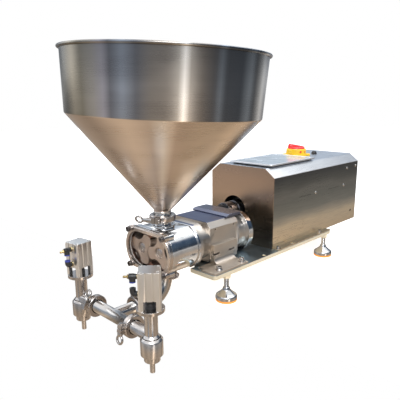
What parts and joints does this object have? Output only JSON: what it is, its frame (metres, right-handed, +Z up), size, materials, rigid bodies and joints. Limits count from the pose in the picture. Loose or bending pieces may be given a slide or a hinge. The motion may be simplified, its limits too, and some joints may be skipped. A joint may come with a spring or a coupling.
{
  "type": "rotary lobe pump filling machine",
  "caption": "Bench-top twin-nozzle filler: a large steel hopper over a lobe pump, a servo drive in a steel enclosure on levelling feet, and two pneumatic nozzle valves.",
  "frame": {"origin": "centre of the four bench holes, on the underside of the base plate", "axes": "+Z up, +Y from the nozzles back along the machine to the enclosure, +X to the machine's right seen from the nozzle end"},
  "size_m": [0.4547, 0.9667, 0.6584],
  "materials": {
    "satin_plate": "satin",
    "chrome_foot": "polished",
    "orange_pad": "matte",
    "polished_steel": "polished",
    "clear_cover": "clear",
    "bolt_steel": "bright",
    "rotor_steel": "ground",
    "ground_steel": "ground",
    "gearbox_steel": "satin",
    "motor_black": "satin paint",
    "zinc_bracket": "plated",
    "driver_plastic": "moulded",
    "case_steel": "brushed",
    "panel_glass": "glossy",
    "yellow_plastic": "moulded",
    "red_plastic": "moulded",
    "brushed_steel": "brushed",
    "white_gasket": "smooth",
    "black_seal": "smooth",
    "anodised_cylinder": "anodised",
    "black_fitting": "moulded"
  },
  "bodies": {
    "frame": {"base_plate": "satin_plate", "pump_case": "polished_steel", "cover_ring": "polished_steel", "pump_cover": "clear_cover", "cover_bolts": "bolt_steel", "shaft_bearings": "ground_steel", "gearbox_housing": "gearbox_steel", "gearbox_top_cover": "gearbox_steel", "rear_flange": "polished_steel", "oil_plug": "polished_steel", "brackets": "gearbox_steel", "frame_bolts": "bolt_steel", "servo_motor": "motor_black", "motor_bracket": "zinc_bracket", "servo_driver": "driver_plastic", "wrap_cover": "case_steel", "front_panel": "case_steel", "rear_panel": "case_steel", "cover_screws": "bolt_steel", "touch_panel": "panel_glass", "isolator_body": "yellow_plastic", "hopper": "brushed_steel", "outlet_elbow": "polished_steel", "tee_manifold": "polished_steel", "pipe_clamps": "brushed_steel", "gaskets": "white_gasket", "valve_left": "polished_steel", "valve_right": "polished_steel", "actuator_left": "anodised_cylinder", "actuator_right": "anodised_cylinder", "rod_seals": "black_seal"},
    "drive": {"input_shaft": "ground_steel", "coupling": "ground_steel"},
    "rotor_left_set": {"rotor_left": "rotor_steel", "rotor_nut_left": "bolt_steel", "shaft_left": "ground_steel", "timing_gear_left": "ground_steel"},
    "rotor_right_set": {"rotor_right": "rotor_steel", "rotor_nut_right": "bolt_steel", "shaft_right": "ground_steel", "timing_gear_right": "ground_steel"},
    "isolator_knob": {"isolator_handle": "red_plastic"},
    "rod_left": {"valve_rod_left": "ground_steel"},
    "rod_right": {"valve_rod_right": "ground_steel"},
    "wing_nut_hopper_body": {"wing_nut_hopper": "bolt_steel"},
    "wing_nut_tee_body": {"wing_nut_tee": "bolt_steel"},
    "wing_nut_left_body": {"wing_nut_left": "bolt_steel"},
    "wing_nut_right_body": {"wing_nut_right": "bolt_steel"},
    "fitting_upper_left_body": {"fitting_upper_left": "black_fitting"},
    "fitting_lower_left_body": {"fitting_lower_left": "black_fitting"},
    "fitting_upper_right_body": {"fitting_upper_right": "black_fitting"},
    "fitting_lower_right_body": {"fitting_lower_right": "black_fitting"},
    "level_front_left": {"foot_front_left": "chrome_foot", "pad_front_left": "orange_pad"},
    "level_front_right": {"foot_front_right": "chrome_foot", "pad_front_right": "orange_pad"},
    "level_rear_left": {"foot_rear_left": "chrome_foot", "pad_rear_left": "orange_pad"},
    "level_rear_right": {"foot_rear_right": "chrome_foot", "pad_rear_right": "orange_pad"}
  },
  "joints": [
    {"name": "drive_spin", "type": "hinge", "parent": "frame", "child": "drive", "pos_m": [-0.025, -0.1, 0.0985], "axis": [0, 1, 0], "continuous": true},
    {"name": "rotor_left_spin", "type": "hinge", "parent": "frame", "child": "rotor_left_set", "pos_m": [-0.031, -0.299, 0.063], "axis": [0, 1, 0], "continuous": true},
    {"name": "rotor_right_spin", "type": "hinge", "parent": "frame", "child": "rotor_right_set", "pos_m": [0.031, -0.299, 0.063], "axis": [0, 1, 0], "continuous": true},
    {"name": "isolator_turn", "type": "hinge", "parent": "frame", "child": "isolator_knob", "pos_m": [-0.014, 0.274, 0.224], "axis": [0, 0, 1], "range_deg": [0, 90]},
    {"name": "valve_left_lift", "type": "slide", "parent": "frame", "child": "rod_left", "axis": [0, 0, 1], "range_m": [0, 0.01]},
    {"name": "valve_right_lift", "type": "slide", "parent": "frame", "child": "rod_right", "axis": [0, 0, 1], "range_m": [0, 0.01]},
    {"name": "wing_hopper_turn", "type": "hinge", "parent": "frame", "child": "wing_nut_hopper_body", "pos_m": [0.00675, -0.33643, 0.135], "axis": [-0.9164, -0.4003, 0], "continuous": true},
    {"name": "wing_tee_turn", "type": "hinge", "parent": "frame", "child": "wing_nut_tee_body", "pos_m": [0.0088, -0.388, -0.0295], "axis": [1, 0, 0], "continuous": true},
    {"name": "wing_left_turn", "type": "hinge", "parent": "frame", "child": "wing_nut_left_body", "pos_m": [-0.07, -0.47283, -0.03971], "axis": [0, 0.4226, 0.9063], "continuous": true},
    {"name": "wing_right_turn", "type": "hinge", "parent": "frame", "child": "wing_nut_right_body", "pos_m": [0.07, -0.48055, -0.0642], "axis": [0, -0.1736, -0.9848], "continuous": true},
    {"name": "fitting_upper_left_swivel", "type": "hinge", "parent": "frame", "child": "fitting_upper_left_body", "pos_m": [-0.12787, -0.47028, 0.068], "axis": [0.1392, -0.9903, 0], "continuous": true},
    {"name": "fitting_lower_left_swivel", "type": "hinge", "parent": "frame", "child": "fitting_lower_left_body", "pos_m": [-0.12787, -0.47028, 0.032], "axis": [0.1392, -0.9903, 0], "continuous": true},
    {"name": "fitting_upper_right_swivel", "type": "hinge", "parent": "frame", "child": "fitting_upper_right_body", "pos_m": [0.11595, -0.46472, 0.068], "axis": [-0.6691, -0.7431, 0], "continuous": true},
    {"name": "fitting_lower_right_swivel", "type": "hinge", "parent": "frame", "child": "fitting_lower_right_body", "pos_m": [0.11595, -0.46472, 0.032], "axis": [-0.6691, -0.7431, 0], "continuous": true},
    {"name": "foot_front_left_level", "type": "slide", "parent": "frame", "child": "level_front_left", "axis": [0, 0, -1], "range_m": [0, 0.012]},
    {"name": "foot_front_right_level", "type": "slide", "parent": "frame", "child": "level_front_right", "axis": [0, 0, -1], "range_m": [0, 0.012]},
    {"name": "foot_rear_left_level", "type": "slide", "parent": "frame", "child": "level_rear_left", "axis": [0, 0, -1], "range_m": [0, 0.012]},
    {"name": "foot_rear_right_level", "type": "slide", "parent": "frame", "child": "level_rear_right", "axis": [0, 0, -1], "range_m": [0, 0.012]}
  ],
  "couplings": [
    {"joint": "rotor_left_spin", "follows": "drive_spin", "ratio": -0.6},
    {"joint": "rotor_right_spin", "follows": "drive_spin", "ratio": 0.6}
  ]
}
